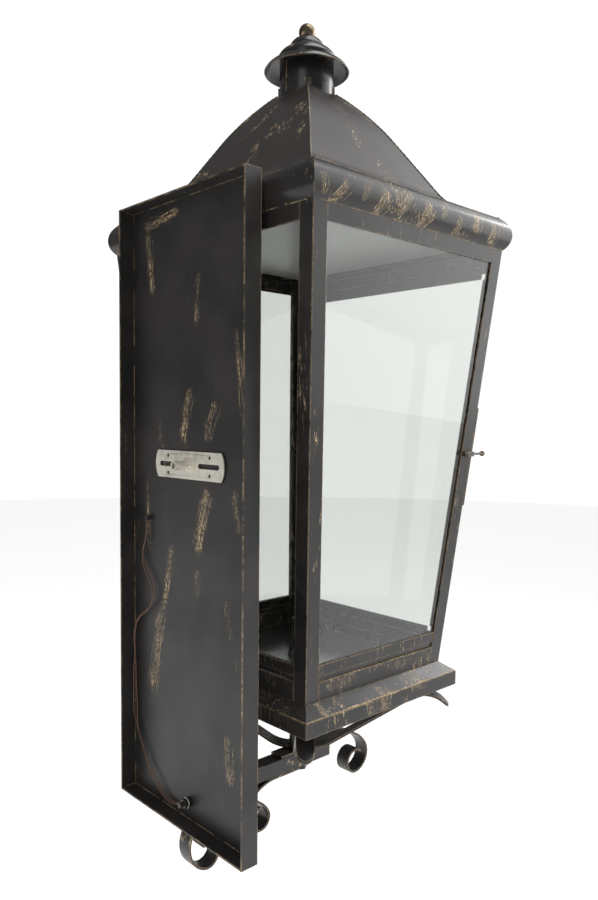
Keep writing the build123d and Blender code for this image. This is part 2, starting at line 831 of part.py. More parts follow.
eave_low = (half_x(eave_bottom), half_y(eave_bottom))
body_top = (half_x(rail_top), half_y(rail_top))
with BuildPart() as eave_moulding:
    add(
        vault(
            eave_outline(eave_low[0], roll_half_x, roof_foot),
            eave_outline(eave_low[1], roll_half_y, roof_foot * roof_ratio),
        )
    )
    add(frustum(eave_low, body_top, eave_bottom, rail_top), mode=Mode.SUBTRACT)
    add(block(eave_inner_x, eave_inner_y, eave_bottom, eave_top), mode=Mode.SUBTRACT)
save(eave_moulding.part, "eave_moulding")

with BuildPart() as ceiling_plate:
    add(block(eave_inner_x, eave_inner_y, rail_top, rail_top + wall))
    add(bore(rod_radius, rail_top, rail_top + wall), mode=Mode.SUBTRACT)
save(ceiling_plate.part, "ceiling_plate")

# The roof flares at the eave, climbs straight and rounds over towards the pipe.
roof_lip = 0.6
flare_end = (122.0, 729.0)
straight_end = (80.0, 793.0)
roof_peak = (27.0, 851.5)


def roof_outline(ratio, inset):
    """Half outline of the roof; ratio scales it sideways, and inset shrinks it to the inside face."""

    def place(half, height):
        return (half * ratio - 0.8 * inset, level(height) - inset)

    def draw():
        foot = place(roof_foot, eave_top + roof_lip)
        base = Line((0, level(eave_top) - 2 * inset), (foot[0], level(eave_top) - 2 * inset))
        lip = Line(base @ 1, foot)
        flare = TangentArc(lip @ 1, place(*flare_end), tangent=(-1, 0.04))
        climb = Line(flare @ 1, place(*straight_end))
        crest = TangentArc(climb @ 1, place(*roof_peak), tangent=climb % 1)
        Line(crest @ 1, (0, (crest @ 1).Y))

    return draw


lug_bottom = 846.0
lug_top = 859.0
lug_reach = 1.5
lug_width = 9.0
pipe_bottom = 838.0

with BuildPart() as roof_shell:
    add(vault(roof_outline(1, 0), roof_outline(roof_ratio, 0)))
    for angle in leg_angles.values():
        outward = (cos(radians(angle)), sin(radians(angle)), 0)
        with BuildSketch(Plane(origin=(*centre, level(lug_bottom)), x_dir=outward, z_dir=(0, 0, 1))):
            with Locations((pipe_radius, 0)):
                Rectangle(2 * lug_reach, lug_width)
        extrude(amount=lug_top - lug_bottom)
    add(bore(pipe_radius, pipe_bottom, lug_top), mode=Mode.SUBTRACT)
    add(vault(roof_outline(1, wall), roof_outline(roof_ratio, wall)), mode=Mode.SUBTRACT)
save(roof_shell.part, "roof_shell")

# ---------------------------------------------------------------- chimney pipe, cap and finial
screw_level = 861.0
screw_radius = 1.5
screw_head = 2.8
head_height = 0.6
screw_inside = 1.0  # what each screw shows inside the pipe


def radial_bar(angle, start, end, radius):
    """A round bar at the screws' level, from one distance to another off the body's axis."""
    outward = Vector(cos(radians(angle)), sin(radians(angle)), 0)
    with BuildPart() as solid:
        with BuildSketch(Plane(origin=Vector(*centre, level(screw_level)) + outward * start, z_dir=outward)):
            Circle(radius)
        extrude(amount=end - start)
    return solid.part


with BuildPart() as pipe_screws:
    for angle in range(0, 360, 90):
        add(radial_bar(angle, pipe_radius - pipe_wall, pipe_radius + head_height, screw_head))
    add(bore(pipe_radius, pipe_bottom, pipe_top), mode=Mode.SUBTRACT)
    for angle in range(0, 360, 90):
        add(radial_bar(angle, pipe_radius - pipe_wall - screw_inside, pipe_radius, screw_radius))
save(pipe_screws.part, "pipe_screws")

with BuildPart() as chimney_pipe:
    add(bore(pipe_radius, pipe_bottom, pipe_top))
    add(bore(pipe_radius - pipe_wall, pipe_bottom, pipe_top), mode=Mode.SUBTRACT)
    add(pipe_screws.part, mode=Mode.SUBTRACT)
save(chimney_pipe.part, "chimney_pipe")

brim_flat = 37.0
brim_radius = 51.7
brim_edge = 877.5
brim_sheet = 1.5
brim_top = pipe_top + brim_sheet
dome_radius = 35.6
dome_top = 905.0
upper_radius = 21.3
cap_top = 919.0
ball_seat = 7.0  # the ball is cut flat where it stands on the upper dome
rod_top = 925.0
rod_bottom = rail_top - 7

with BuildPart() as cap_brim:
    with BuildSketch(body_plane):
        with BuildLine():
            under = Line((rod_radius, level(pipe_top)), (brim_flat, level(pipe_top)))
            dish = ThreePointArc(under @ 1, (45.5, level(883.4)), (brim_radius - 1.2, level(brim_edge)))
            rim = Line(dish @ 1, (brim_radius, level(brim_edge + 0.8)))
            crown_arc = ThreePointArc(rim @ 1, (46.2, level(884.8)), (brim_flat + 0.3, level(brim_top)))
            over = Line(crown_arc @ 1, (rod_radius, level(brim_top)))
            Line(over @ 1, under @ 0)
        make_face()
    revolve(axis=body_axis)
save(cap_brim.part, "cap_brim")

with BuildPart() as cap_dome_lower:
    with BuildSketch(body_plane):
        with BuildLine():
            foot = Line((dome_radius - wall, level(brim_top)), (dome_radius, level(brim_top)))
            side = Line(foot @ 1, (dome_radius, level(894)))
            shell = ThreePointArc(side @ 1, (30.5, level(901.2)), (upper_radius - 1, level(dome_top)))
            top = Line(shell @ 1, (rod_radius, level(dome_top)))
            hole = Line(top @ 1, (rod_radius, level(dome_top - wall)))
            under = Line(hole @ 1, (upper_radius - 2, level(dome_top - wall)))
            inside = ThreePointArc(under @ 1, (29, level(899.4)), (dome_radius - wall, level(893)))
            Line(inside @ 1, foot @ 0)
        make_face()
    revolve(axis=body_axis)
save(cap_dome_lower.part, "cap_dome_lower")

with BuildPart() as cap_dome_upper:
    with BuildSketch(body_plane):
        with BuildLine():
            foot = Line((rod_radius, level(dome_top)), (upper_radius, level(dome_top)))
            side = Line(foot @ 1, (upper_radius, level(907.5)))
            shell = ThreePointArc(side @ 1, (17.5, level(914.5)), (ball_seat, level(cap_top)))
            top = Line(shell @ 1, (rod_radius, level(cap_top)))
            Line(top @ 1, foot @ 0)
        make_face()
    revolve(axis=body_axis)
save(cap_dome_upper.part, "cap_dome_upper")

with BuildPart() as finial_ball:
    with Locations((*centre, level(ball_level))):
        Sphere(ball_radius)
    add(bore(ball_radius, ball_level - ball_radius, cap_top), mode=Mode.SUBTRACT)
    add(bore(rod_radius, cap_top, rod_top), mode=Mode.SUBTRACT)
save(finial_ball.part, "finial_ball")

with BuildPart() as tie_rod:
    add(bore(rod_radius, rod_bottom, rod_top))
    with BuildSketch(Plane.XY.offset(level(rod_bottom + 2))):
        with Locations(centre):
            RegularPolygon(5, 6, major_radius=False)
    extrude(amount=rail_top - rod_bottom - 2)
save(tie_rod.part, "tie_rod")
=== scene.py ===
"""Looks of the outdoor wall lantern: black metal rubbed through to old gold, clear glass, zinc fittings."""

import bmesh
import bpy
from math import cos, pi, radians, sin
from mathutils import Matrix, Vector


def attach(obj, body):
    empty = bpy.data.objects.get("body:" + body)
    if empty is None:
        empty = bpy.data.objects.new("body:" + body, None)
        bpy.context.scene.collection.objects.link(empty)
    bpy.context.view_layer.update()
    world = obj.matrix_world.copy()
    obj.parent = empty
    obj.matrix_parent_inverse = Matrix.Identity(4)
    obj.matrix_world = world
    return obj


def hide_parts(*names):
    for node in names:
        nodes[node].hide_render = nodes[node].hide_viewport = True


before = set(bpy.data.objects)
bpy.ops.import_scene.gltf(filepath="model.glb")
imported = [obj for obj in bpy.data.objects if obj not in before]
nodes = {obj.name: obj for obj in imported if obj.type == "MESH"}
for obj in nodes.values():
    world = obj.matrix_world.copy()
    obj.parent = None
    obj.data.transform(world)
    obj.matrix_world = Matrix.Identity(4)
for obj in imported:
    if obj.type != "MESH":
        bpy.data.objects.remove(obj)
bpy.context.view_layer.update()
scene = bpy.context.scene

# heights are given above the lower edge of the wall box, as on the drawing
NIPPLE_HEIGHT = 0.4045


def at(x, depth, height):
    """A point from its side offset, its depth before the wall and its height above the wall box's edge."""
    return Vector((x, -depth, height - NIPPLE_HEIGHT))


# the glazed body: every side leans outwards as it rises
BODY_DEPTH = 0.1908
TAPER_BASE = 0.1568
BASE_HALF = (0.1299, 0.115)
LEAN = (0.0977, 0.0867)


def half_x(height):
    return BASE_HALF[0] + LEAN[0] * (height - TAPER_BASE)


def half_y(height):
    return BASE_HALF[1] + LEAN[1] * (height - TAPER_BASE)


# ------------------------------------------------------------------ camera
CAMERA_PLACE = at(-0.701, -0.4702, 0.456)
CAMERA_YAW = radians(47.03)
CAMERA_PITCH = radians(-3.39)
CAMERA_ROLL = radians(0.54)
LENS_MM = 30.68
SENSOR_MM = 36.0


def add_camera():
    forward = Vector(
        (
            sin(CAMERA_YAW) * cos(CAMERA_PITCH),
            -cos(CAMERA_YAW) * cos(CAMERA_PITCH),
            sin(CAMERA_PITCH),
        )
    )
    level_right = Vector((-cos(CAMERA_YAW), -sin(CAMERA_YAW), 0))
    level_up = level_right.cross(forward)
    right = cos(CAMERA_ROLL) * level_right + sin(CAMERA_ROLL) * level_up
    up = cos(CAMERA_ROLL) * level_up - sin(CAMERA_ROLL) * level_right
    data = bpy.data.cameras.new("camera")
    data.lens = LENS_MM
    data.sensor_width = SENSOR_MM
    data.shift_x = 0.0009
    data.shift_y = 0.0167
    camera = bpy.data.objects.new("camera", data)
    scene.collection.objects.link(camera)
    axes = Matrix((right, up, -forward)).transposed()
    camera.matrix_world = Matrix.Translation(CAMERA_PLACE) @ axes.to_4x4()
    scene.camera = camera


add_camera()


# ------------------------------------------------------------------ shader helpers
class Shader:
    """A material or world node tree with short ways to add and join nodes."""

    def __init__(self, tree):
        self.tree = tree
        tree.nodes.clear()

    def add(self, kind, **settings):
        node = self.tree.nodes.new(kind)
        for name, value in settings.items():
            setattr(node, name, value)
        return node

    def join(self, source, target):
        self.tree.links.new(source, target)

    def feed(self, socket, value):
        """Put a number, a colour or another node's output into a socket."""
        if isinstance(value, bpy.types.NodeSocket):
            self.join(value, socket)
        else:
            socket.default_value = value

    def math(self, operation, a, b=0.0, clamp=False):
        node = self.add("ShaderNodeMath", operation=operation, use_clamp=clamp)
        self.feed(node.inputs[0], a)
        self.feed(node.inputs[1], b)
        return node.outputs[0]

    def coordinates(self, scale=(1, 1, 1), rotation=(0, 0, 0)):
        source = self.add("ShaderNodeTexCoord")
        mapping = self.add("ShaderNodeMapping")
        self.join(source.outputs["Object"], mapping.inputs["Vector"])
        mapping.inputs["Scale"].default_value = scale
        mapping.inputs["Rotation"].default_value = rotation
        return mapping.outputs["Vector"]

    def noise(self, vector, scale, detail=3.0, roughness=0.5, distortion=0.0):
        node = self.add("ShaderNodeTexNoise")
        self.join(vector, node.inputs["Vector"])
        node.inputs["Scale"].default_value = scale
        node.inputs["Detail"].default_value = detail
        node.inputs["Roughness"].default_value = roughness
        node.inputs["Distortion"].default_value = distortion
        return node.outputs["Fac"]

    def step(self, value, low, high, bottom=0.0, top=1.0):
        node = self.add("ShaderNodeMapRange", interpolation_type="SMOOTHSTEP")
        self.feed(node.inputs["Value"], value)
        node.inputs["From Min"].default_value = low
        node.inputs["From Max"].default_value = high
        node.inputs["To Min"].default_value = bottom
        node.inputs["To Max"].default_value = top
        return node.outputs["Result"]

    def mix(self, factor, a, b):
        node = self.add("ShaderNodeMix", data_type="RGBA")
        self.feed(node.inputs["Factor"], factor)
        self.feed(node.inputs[6], a)
        self.feed(node.inputs[7], b)
        return node.outputs[2]

    def bump(self, height, strength, distance):
        node = self.add("ShaderNodeBump")
        node.inputs["Strength"].default_value = strength
        node.inputs["Distance"].default_value = distance
        self.join(height, node.inputs["Height"])
        return node.outputs["Normal"]

    def edges(self, radius, low, high):
        """1 along sharp edges, 0 on flat faces."""
        bevel = self.add("ShaderNodeBevel", samples=6)
        bevel.inputs["Radius"].default_value = radius
        true_normal = self.add("ShaderNodeNewGeometry")
        dot = self.add("ShaderNodeVectorMath", operation="DOT_PRODUCT")
        self.join(bevel.outputs["Normal"], dot.inputs[0])
        self.join(true_normal.outputs["Normal"], dot.inputs[1])
        bend = self.math("SUBTRACT", 1.0, dot.outputs["Value"])
        return self.step(bend, low, high)


def new_material(name):
    material = bpy.data.materials.new(name)
    material.use_nodes = True
    shader = Shader(material.node_tree)
    surface = shader.add("ShaderNodeBsdfPrincipled")
    output = shader.add("ShaderNodeOutputMaterial")
    shader.join(surface.outputs["BSDF"], output.inputs["Surface"])
    return material, shader, surface


BLACK = (0.0100, 0.0092, 0.0090, 1)
SOOT = (0.022, 0.0195, 0.018, 1)
OLD_GOLD = (0.25, 0.170, 0.085, 1)
PALE_GOLD = (0.54, 0.43, 0.27, 1)


def brush_pass(shader, start, end, width, strength):
    """How much gold one stroke leaves, with its hairs running from start to end."""
    source = shader.add("ShaderNodeTexCoord")
    offset = shader.add("ShaderNodeVectorMath", operation="SUBTRACT")
    shader.join(source.outputs["Object"], offset.inputs[0])
    offset.inputs[1].default_value = start
    run = (end - start).normalized()
    facing = Vector((1, 0, 0)) if abs(end.y - start.y) > abs(end.x - start.x) else Vector((0, 1, 0))
    distances = []
    for way in (run, facing.cross(run)):
        dot = shader.add("ShaderNodeVectorMath", operation="DOT_PRODUCT")
        shader.join(offset.outputs["Vector"], dot.inputs[0])
        dot.inputs[1].default_value = way
        distances.append(dot.outputs["Value"])
    length = (end - start).length
    hair_space = shader.add("ShaderNodeCombineXYZ")
    shader.join(shader.math("MULTIPLY", distances[0], 22.0), hair_space.inputs[0])
    shader.join(shader.math("MULTIPLY", distances[1], 760.0), hair_space.inputs[1])
    hairs = shader.noise(hair_space.outputs["Vector"], 1.0, detail=3.0, roughness=0.6)
    ragged = shader.math("MULTIPLY", shader.math("SUBTRACT", hairs, 0.5), 0.35 * length)
    from_middle = shader.math("ABSOLUTE", shader.math("SUBTRACT", distances[0], length / 2))
    ends = shader.step(shader.math("ADD", from_middle, ragged), 0.28 * length, 0.60 * length, 1.0, 0.0)
    off_line = shader.math("ABSOLUTE", distances[1])
    sides = shader.step(off_line, 0.05 * width, 0.75 * width, 1.0, 0.0)
    touch = shader.math("MULTIPLY", ends, sides)
    faded = shader.math("MULTIPLY", shader.math("SUBTRACT", touch, 1.0), 0.30)
    least = 0.64 - 0.13 * strength
    return shader.step(shader.math("ADD", hairs, faded), least, least + 0.08)


def antique_black(
    name, strokes, bands, cover=0.57, dense=0.52, rub=0.5, roughness=0.3, tone=BLACK, turn=(0, 0, 0),
    passes=(),
):
    """Black lacquer dry-brushed with gold.

    strokes and bands are how many brush hairs and how many sweeps there are per metre along X, Y and Z;
    cover and dense are the noise levels above which a sweep and a hair leave gold; rub is the wear on edges.
    passes are further strokes of a broad brush at known places: (start, end, width, strength).
    """
    material, shader, surface = new_material(name)
    plain = shader.coordinates()
    hairs = shader.noise(shader.coordinates(strokes, turn), 1.0, detail=4.0, roughness=0.6, distortion=0.1)
    sweeps = shader.noise(shader.coordinates(bands, turn), 1.0, detail=3.0, roughness=0.55)
    sweep_mask = shader.step(sweeps, cover, cover + 0.09)
    hair_mask = shader.step(hairs, dense, dense + 0.09)
    marks = shader.math("MULTIPLY", hair_mask, sweep_mask)
    grit = shader.noise(plain, 330.0, detail=4.0, roughness=0.75)
    for start, end, width, strength in passes:
        marks = shader.math("MAXIMUM", marks, brush_pass(shader, start, end, width, strength))
    marks = shader.math("MULTIPLY", marks, shader.step(grit, 0.38, 0.54))
    edge = shader.edges(0.0024, 0.015, 0.20)
    edge_patch = shader.noise(plain, 38.0, detail=6.0, roughness=0.75)
    edge_mask = shader.step(edge_patch, 0.62 - 0.25 * rub, 0.72 - 0.2 * rub)
    rubbed = shader.math("MULTIPLY", edge, edge_mask)
    gold = shader.math("MAXIMUM", marks, rubbed, clamp=True)
    dusk = shader.mix(shader.step(shader.noise(plain, 14.0, detail=5.0), 0.35, 0.7), tone, SOOT)
    metal = shader.mix(shader.step(grit, 0.45, 0.65), OLD_GOLD, PALE_GOLD)
    shader.join(shader.mix(gold, dusk, metal), surface.inputs["Base Color"])
    shader.join(shader.math("MULTIPLY", gold, 0.4), surface.inputs["Metallic"])
    haze = shader.noise(plain, 9.0, detail=5.0, roughness=0.6)
    smear = shader.step(haze, 0.3, 0.75, roughness - 0.06, roughness + 0.09)
    shine = shader.add("ShaderNodeMix", data_type="FLOAT")
    shader.join(gold, shine.inputs["Factor"])
    shader.join(smear, shine.inputs[2])
    shine.inputs[3].default_value = 0.50
    shader.join(shine.outputs[0], surface.inputs["Roughness"])
    peel = shader.noise(plain, 420.0, detail=3.0, roughness=0.55)
    relief = shader.math("ADD", shader.math("MULTIPLY", peel, 0.35), shader.math("MULTIPLY", gold, 0.6))
    shader.join(shader.bump(relief, 0.11, 0.0005), surface.inputs["Normal"])
    return material


def zinc(name):
    material, shader, surface = new_material(name)
    plain = shader.coordinates()
    rolled = shader.coordinates((30, 600, 600))
    brush = shader.noise(rolled, 1.0, detail=4.0)
    stain = shader.noise(plain, 60.0, detail=5.0, roughness=0.6)
    base = shader.mix(shader.step(stain, 0.4, 0.72), (0.78, 0.75, 0.66, 1), (0.56, 0.52, 0.44, 1))
    shader.join(base, surface.inputs["Base Color"])
    surface.inputs["Metallic"].default_value = 0.72
    shader.join(shader.step(brush, 0.3, 0.7, 0.30, 0.46), surface.inputs["Roughness"])
    shader.join(shader.bump(brush, 0.15, 0.0004), surface.inputs["Normal"])
    return material


AGED_BRASS = (0.46, 0.33, 0.17, 1)
TARNISHED_BRASS = (0.07, 0.055, 0.04, 1)
DARK_SHEATH = (0.075, 0.036, 0.022, 1)
PALE_SHEATH = (0.17, 0.085, 0.048, 1)
DARK_PLASTIC = (0.012, 0.012, 0.012, 1)
PALE_PLASTIC = (0.022, 0.021, 0.020, 1)


def aged_brass(name):
    material, shader, surface = new_material(name)
    plain = shader.coordinates()
    cloud = shader.noise(plain, 90.0, detail=5.0, roughness=0.65)
    tarnish = shader.step(cloud, 0.36, 0.54)
    shader.join(shader.mix(tarnish, AGED_BRASS, TARNISHED_BRASS), surface.inputs["Base Color"])
    surface.inputs["Metallic"].default_value = 0.7
    shader.join(shader.step(cloud, 0.3, 0.7, 0.26, 0.45), surface.inputs["Roughness"])
    shader.join(shader.bump(cloud, 0.2, 0.0005), surface.inputs["Normal"])
    return material


def clear_glass(name):
    material, shader, surface = new_material(name)
    plain = shader.coordinates()
    surface.inputs["Base Color"].default_value = (0.842, 0.862, 0.842, 1)
    surface.inputs["Transmission Weight"].default_value = 1.0
    surface.inputs["IOR"].default_value = 1.5
    surface.inputs["Roughness"].default_value = 0.0
    wave = shader.noise(plain, 5.0, detail=1.0)
    shader.join(shader.bump(wave, 0.05, 0.002), surface.inputs["Normal"])
    return material


def sheath(name):
    material, shader, surface = new_material(name)
    plain = shader.coordinates()
    speck = shader.noise(plain, 300.0, detail=3.0)
    shader.join(shader.mix(speck, DARK_SHEATH, PALE_SHEATH), surface.inputs["Base Color"])
    surface.inputs["Roughness"].default_value = 0.38
    shader.join(shader.bump(speck, 0.1, 0.0003), surface.inputs["Normal"])
    return material


def moulded_black(name):
    material, shader, surface = new_material(name)
    plain = shader.coordinates()
    fine = shader.noise(plain, 700.0, detail=2.0)
    shader.join(shader.mix(fine, DARK_PLASTIC, PALE_PLASTIC), surface.inputs["Base Color"])
    surface.inputs["Roughness"].default_value = 0.5
    shader.join(shader.bump(fine, 0.2, 0.0003), surface.inputs["Normal"])
    return material


def smooth_lining(name, tone, roughness):
    """Plain sprayed lacquer inside the cabin, with faint clouds and dust."""
    material, shader, surface = new_material(name)
    plain = shader.coordinates()
    cloud = shader.noise(plain, 12.0, detail=4.0)
    light = tuple(1.5 * part for part in tone[:3]) + (1,)
    shader.join(shader.mix(cloud, tone, light), surface.inputs["Base Color"])
    shader.join(shader.step(cloud, 0.3, 0.7, roughness - 0.03, roughness + 0.05), surface.inputs["Roughness"])
    dust = shader.noise(plain, 500.0, detail=2.0)
    shader.join(shader.bump(dust, 0.03, 0.0003), surface.inputs["Normal"])
    return material


BRUSH_TILT = (0, -0.12, 0)
PANEL_DEPTH = 0.0192


def panel_pass(x_start, height_start, x_end, height_end, width, strength):
    ends = at(x_start, PANEL_DEPTH, height_start), at(x_end, PANEL_DEPTH, height_end)
    return (*ends, 1.25 * width, strength + 0.35)


PANEL_PASSES = (
    panel_pass(-0.050, 0.482, -0.028, 0.424, 0.024, 0.8),
    panel_pass(-0.037, 0.392, -0.010, 0.295, 0.026, 1.1),
    panel_pass(-0.004, 0.500, 0.018, 0.418, 0.022, 0.9),
    panel_pass(0.030, 0.325, 0.058, 0.215, 0.016, 1.0),
    panel_pass(0.052, 0.250, 0.080, 0.110, 0.030, 0.9),
    panel_pass(-0.078, 0.390, -0.090, 0.330, 0.014, 0.8),
    panel_pass(0.105, 0.678, 0.010, 0.686, 0.016, 1.0),
    panel_pass(0.086, 0.686, 0.074, 0.585, 0.018, 0.9),
    panel_pass(-0.018, 0.625, -0.010, 0.545, 0.014, 0.6),
    panel_pass(-0.068, 0.130, -0.076, 0.058, 0.024, 0.8),
    panel_pass(-0.013, 0.298, -0.020, 0.250, 0.022, 0.5),
    panel_pass(-0.064, 0.274, -0.079, 0.215, 0.018, 0.5),
    panel_pass(0.089, 0.405, 0.081, 0.280, 0.012, 0.6),
    panel_pass(-0.080, 0.570, -0.094, 0.440, 0.014, 0.7),
    panel_pass(-0.100, 0.330, -0.104, 0.040, 0.010, 0.7),
)


def side_pass(depth, height, length, width, strength, slant=0.35):
    start = at(-0.186, depth - slant * length / 2, height - length / 2)
    end = at(-0.186, depth + slant * length / 2, height + length / 2)
    return start, end, 1.2 * width, strength + 0.3


EAVE_PASSES = tuple(
    side_pass(depth, height, 0.030, width, strength, slant)
    for depth, height, width, strength, slant in (
        (0.040, 0.676, 0.022, 0.7, -0.2), (0.062, 0.670, 0.020, 1.1, 0.9), (0.098, 0.680, 0.018, 0.7, 0.6),
        (0.122, 0.672, 0.026, 1.0, 0.7), (0.158, 0.678, 0.020, 1.0, 0.9), (0.192, 0.674, 0.028, 1.2, 0.8),
        (0.226, 0.686, 0.018, 0.8, 0.8), (0.250, 0.672, 0.020, 0.9, 0.5), (0.284, 0.682, 0.026, 1.1, 0.4),
        (0.318, 0.675, 0.026, 1.1, 0.3),
    )
)
PAN_EDGE = 0.1435
BASE_PASSES = (
    (at(-0.146, 0.075, PAN_EDGE), at(-0.146, 0.235, PAN_EDGE), 0.007, 1.3),
    (at(-0.146, 0.190, PAN_EDGE + 0.001), at(-0.146, 0.318, PAN_EDGE + 0.001), 0.006, 0.9),
    (at(-0.130, 0.090, 0.1765), at(-0.130, 0.300, 0.1765), 0.007, 1.0),
    side_pass(0.185, 0.140, 0.034, 0.030, 1.0, 0.2),
    side_pass(0.160, 0.138, 0.030, 0.026, 0.8, -0.2),
    side_pass(0.092, 0.152, 0.020, 0.018, 0.9, 0.1),
    side_pass(0.250, 0.146, 0.028, 0.030, 0.7, 0.3),
    side_pass(0.130, 0.168, 0.018, 0.060, 0.7, 0.1),
    side_pass(0.225, 0.168, 0.018, 0.070, 0.6, 0.1),
)
panel_black = antique_black(
    "panel_black", (620, 620, 34), (26, 26, 4.6), cover=0.64, dense=0.53, rub=0.8, roughness=0.42,
    turn=BRUSH_TILT, passes=PANEL_PASSES,
)


post_black = antique_black(
    "post_black", (620, 620, 22), (90, 90, 3.2), cover=0.56, dense=0.54, rub=1.0, roughness=0.24,
)
eave_black = antique_black(
    "eave_black", (420, 420, 48), (26, 26, 20), cover=0.53, dense=0.515, rub=0.8, roughness=0.25,
    turn=(0.35, 0.35, 0), passes=EAVE_PASSES,
)
base_black = antique_black(
    "base_black", (420, 420, 50), (22, 22, 30), cover=0.50, dense=0.54, rub=1.15, roughness=0.30,
    turn=(0.1, 0.1, 0), passes=BASE_PASSES,
)
roof_black = antique_black(
    "roof_black", (300, 300, 32), (30, 30, 13), cover=0.565, dense=0.52, rub=0.8, roughness=0.34,
    tone=(0.024, 0.0205, 0.019, 1),
)
iron_black = antique_black(
    "iron_black", (280, 120, 120), (34, 34, 34), cover=0.545, dense=0.53, rub=1.2, roughness=0.30,
)
cap_black = antique_black(
    "cap_black", (60, 60, 420), (40, 40, 60), cover=0.58, dense=0.52, rub=1.0, roughness=0.24,
)
cabin_black = smooth_lining("cabin_black", (0.010, 0.010, 0.010, 1), 0.16)
# ceiling plate: its own grey lacquer, lightened further as a painted reflection of the bright studio seen in the
# glass in front of it
ceiling_grey_painted_reflection = smooth_lining("ceiling_grey_painted_reflection", (0.33, 0.33, 0.32, 1), 0.32)
fitting_black = smooth_lining("fitting_black", (0.014, 0.012, 0.011, 1), 0.30)
zinc_plate = zinc("zinc_plate")
brass = aged_brass("brass_aged")
pane = clear_glass("clear_glass")
lead_brown = sheath("lead_brown")
socket_black = moulded_black("socket_black")

LOOKS = {
    panel_black: ["wall_box"],
    post_black: [
        "post_back_left", "post_back_right", "post_front_left", "post_front_right", "door_frame",
        "latch_strike", "frame_hinges", "door_hinges", "top_rails", "glass_beads",
    ],
    eave_black: ["eave_moulding"],
    base_black: ["plinth_band", "base_pan", "base_skirt"],
    roof_black: ["roof_shell"],
    iron_black: [
        "arm_root_plate", "bracket_arm", "arm_end_cap", "c_scroll", "brace_strip",
        "front_scroll", "cradle_hub", "cradle_leg_back_left", "cradle_leg_back_right",
        "cradle_leg_front_left", "cradle_leg_front_right", "stem_tube",
    ],
    cap_black: [
        "chimney_pipe", "cap_brim", "cap_dome_lower", "cap_dome_upper", "latch_sleeve", "latch_turn",
    ],
    cabin_black: ["floor_plate", "cone_nut"],
    ceiling_grey_painted_reflection: ["ceiling_plate"],
    fitting_black: ["earth_nuts", "earth_stud", "stem_rod", "tie_rod", "pipe_screws"],
    zinc_plate: [
        "crossbar", "nipple", "nipple_nut", "nipple_washer", "earth_ring", "hinge_pins",
    ],
    brass: ["finial_ball", "nipple_cap"],
    pane: ["glass_left", "glass_right", "glass_back", "door_glass"],
    socket_black: ["lampholder", "lead_clip"],
    lead_brown: ["earth_lead", "earth_lead_twin"],
}
for material, names in LOOKS.items():
    for name in names:
        piece = nodes[name]
        piece.data.materials.clear()
        piece.data.materials.append(material)

# ------------------------------------------------------------------ earth leads
LEAD_DIAMETER = 0.001
MAIN_DEPTH = 0.0155
TWIN_DEPTH = 0.0139
BARREL_MOUTH = (0.010963, 0.017119)
MAIN_ROUTE = [
    (0.081, 0.336), (0.081, 0.318), (0.094, 0.300), (0.087, 0.283), (0.070, 0.267), (0.0645, 0.248),
    (0.076, 0.231), (0.098, 0.220), (0.112, 0.203), (0.1135, 0.181), (0.108, 0.158), (0.1085, 0.132),
    (0.105, 0.106), (0.1065, 0.081), (0.093, 0.060), (0.078, 0.038), (0.055, 0.021), (0.030, 0.0095),
    BARREL_MOUTH,
]
TWIN_ROUTE = [
    (0.081, 0.336), (0.081, 0.316), (0.090, 0.298), (0.0895, 0.279), (0.074, 0.264), (0.066, 0.245),
    (0.079, 0.226), (0.101, 0.215), (0.109, 0.195), (0.107, 0.172), (0.1115, 0.150), (0.111, 0.124),
    (0.1125, 0.100), (0.102, 0.077), (0.086, 0.053), (0.072, 0.030), (0.047, 0.014), (0.028, 0.0085),
    BARREL_MOUTH,
]


def add_lead(name, route, depth, node):
    curve = bpy.data.curves.new(name, "CURVE")
    curve.dimensions = "3D"
    curve.bevel_depth = LEAD_DIAMETER / 2
    curve.bevel_resolution = 3
    curve.resolution_u = 8
    curve.use_fill_caps = True
    spline = curve.splines.new("NURBS")
    spline.points.add(len(route) - 1)
    for point, (x, height) in zip(spline.points, route):
        point.co = (*at(x, depth, height), 1)
    spline.order_u = 3
    spline.use_endpoint_u = True
    lead = bpy.data.objects.new(name, curve)
    scene.collection.objects.link(lead)
    curve.materials.append(lead_brown)
    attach(lead, "lantern")
    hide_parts(node)


add_lead("earth_lead_wire", MAIN_ROUTE, MAIN_DEPTH, "earth_lead")
add_lead("earth_lead_twin_wire", TWIN_ROUTE, TWIN_DEPTH, "earth_lead_twin")

# ------------------------------------------------------------------ softened edges on the metalwork
CRISP = ("wall_box", "glass_left", "glass_right", "glass_back", "door_glass", "earth_lead", "earth_lead_twin")
BROAD_EDGES = {"bracket_arm": 0.0008, "base_pan": 0.0009, "base_skirt": 0.0008, "crossbar": 0.0003}


def soften(piece, width):
    weld = piece.modifiers.new("weld", "WELD")
    weld.merge_threshold = 0.00001
    bevel = piece.modifiers.new("soft_edges", "BEVEL")
    bevel.width = width
    bevel.segments = 2
    bevel.limit_method = "ANGLE"
    bevel.angle_limit = radians(35)
    weighted = piece.modifiers.new("even_shading", "WEIGHTED_NORMAL")
    weighted.keep_sharp = True


for name, piece in nodes.items():
    if name not in CRISP:
        soften(piece, BROAD_EDGES.get(name, 0.0004))

# ------------------------------------------------------------------ modelled details
ROOF_RATIO = 0.886
ARM_HALF = 0.010
ARM_MIDDLE = 0.0255
ROOT_DEPTH = 0.024
SHEET = 0.0018


def add_piece(name, mesh, body, material):
    mesh.materials.append(material)
    for face in mesh.polygons:
        face.use_smooth = True
    piece = bpy.data.objects.new(name, mesh)
    scene.collection.objects.link(piece)
    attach(piece, body)
    return piece


